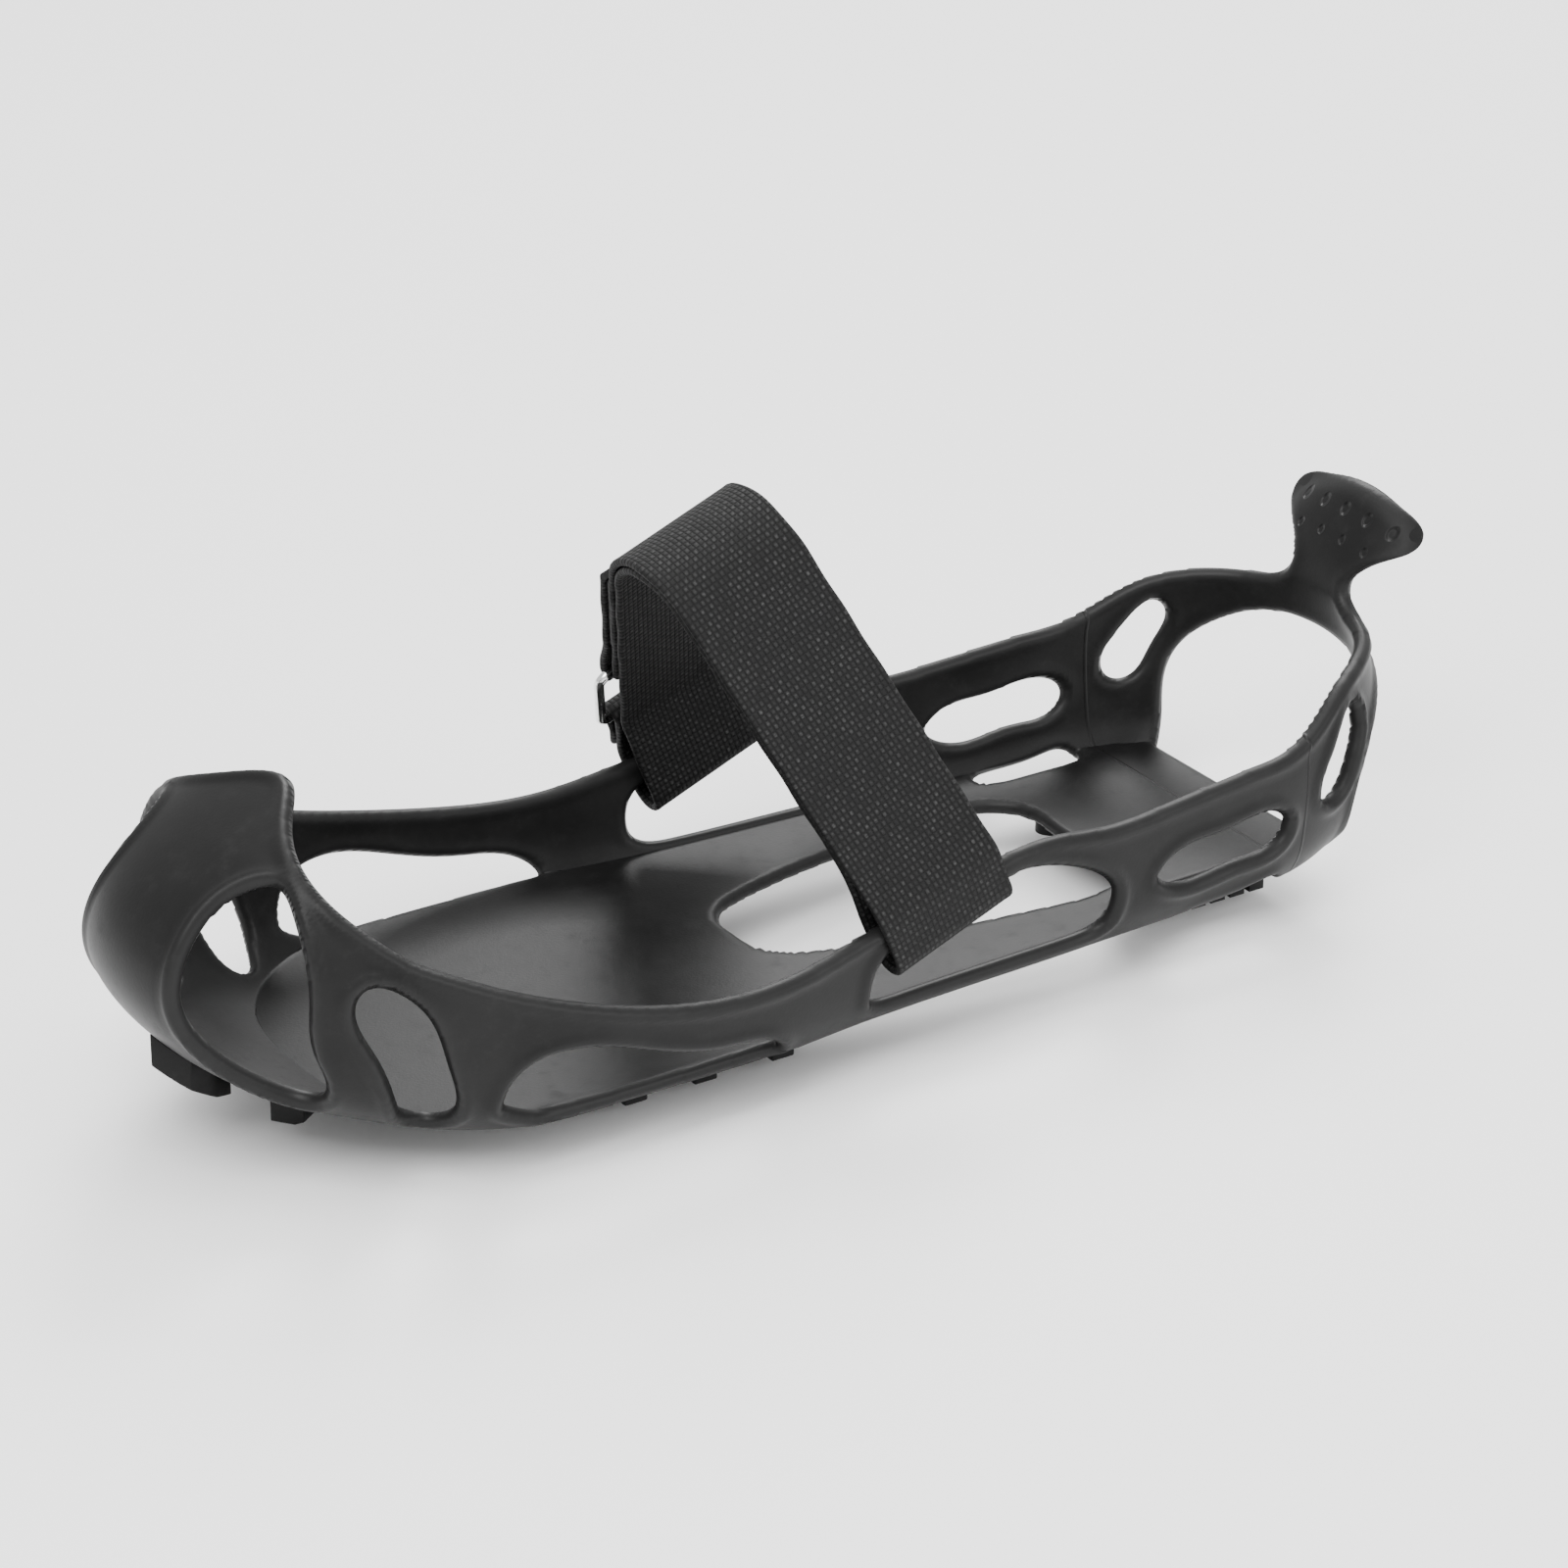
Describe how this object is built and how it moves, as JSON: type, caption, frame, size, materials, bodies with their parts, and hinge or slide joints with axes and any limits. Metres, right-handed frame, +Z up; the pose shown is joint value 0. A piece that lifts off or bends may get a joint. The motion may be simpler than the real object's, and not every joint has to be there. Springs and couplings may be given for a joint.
{
  "type": "shoe ice cleat",
  "caption": "Stretch-on rubber ice cleat for a boot, with steel toothed plates, rubber tread lugs, open sides and a cinch strap over the instep.",
  "frame": {"origin": "on the ground, level with the tips of the steel teeth, under the middle of the whole length and width", "axes": "toe towards -Y, heel towards +Y, +X the wearer's left, +Z up"},
  "size_m": [0.1096, 0.3096, 0.113],
  "materials": {
    "rubber": "satin moulded",
    "tooth_steel": "bright, ground edges",
    "webbing": "woven",
    "thread": "waxed thread",
    "ring_steel": "polished",
    "hook_tape": "matt, hooked"
  },
  "bodies": {
    "harness": {"arch_strip_left": "rubber", "arch_strip_right": "rubber", "chevron_lugs": "rubber", "forefoot_centre_lugs": "rubber", "forefoot_edge_lugs": "rubber", "forefoot_sole": "rubber", "forefoot_tread_pad": "rubber", "front_tooth_plate_left": "tooth_steel", "front_tooth_plate_right": "tooth_steel", "heel_lugs": "rubber", "heel_sole": "rubber", "heel_tooth_plate_left": "tooth_steel", "heel_tooth_plate_right": "tooth_steel", "heel_tread_pad": "rubber", "heel_wall_left": "rubber", "heel_wall_right": "rubber", "middle_tooth_plate_left": "tooth_steel", "middle_tooth_plate_right": "tooth_steel", "rear_leg_left": "rubber", "rear_leg_right": "rubber", "side_band_left": "rubber", "side_band_right": "rubber", "side_rail_left": "rubber", "side_rail_right": "rubber", "toe_cap": "rubber", "toe_lugs": "rubber"},
    "pull_tab": {"pull_tab": "rubber"},
    "strap": {"strap_webbing": "webbing", "strap_stitching": "thread"},
    "ring": {"keeper_ring": "ring_steel"},
    "tail": {"strap_tail": "webbing", "hook_tape": "hook_tape"}
  },
  "joints": [
    {"name": "pull_tab_flex", "type": "hinge", "parent": "harness", "child": "pull_tab", "pos_m": [0, 0.13993, 0.058], "axis": [-1, 0, 0], "range_deg": [-8, 20], "stiffness_Nm_per_rad": 0.15},
    {"name": "strap_slide", "type": "slide", "parent": "harness", "child": "strap", "axis": [0, 0.3665, 0.9304], "range_m": [-0.0015, 0.001]},
    {"name": "ring_swing", "type": "hinge", "parent": "strap", "child": "ring", "pos_m": [-0.04673, 0.00016, 0.05149], "axis": [0, -0.9304, -0.3665], "range_deg": [0, 15]},
    {"name": "tail_peel", "type": "hinge", "parent": "ring", "child": "tail", "pos_m": [-0.03788, -0.0055, 0.06585], "axis": [0, -0.9304, -0.3665], "range_deg": [0, 95]}
  ]
}
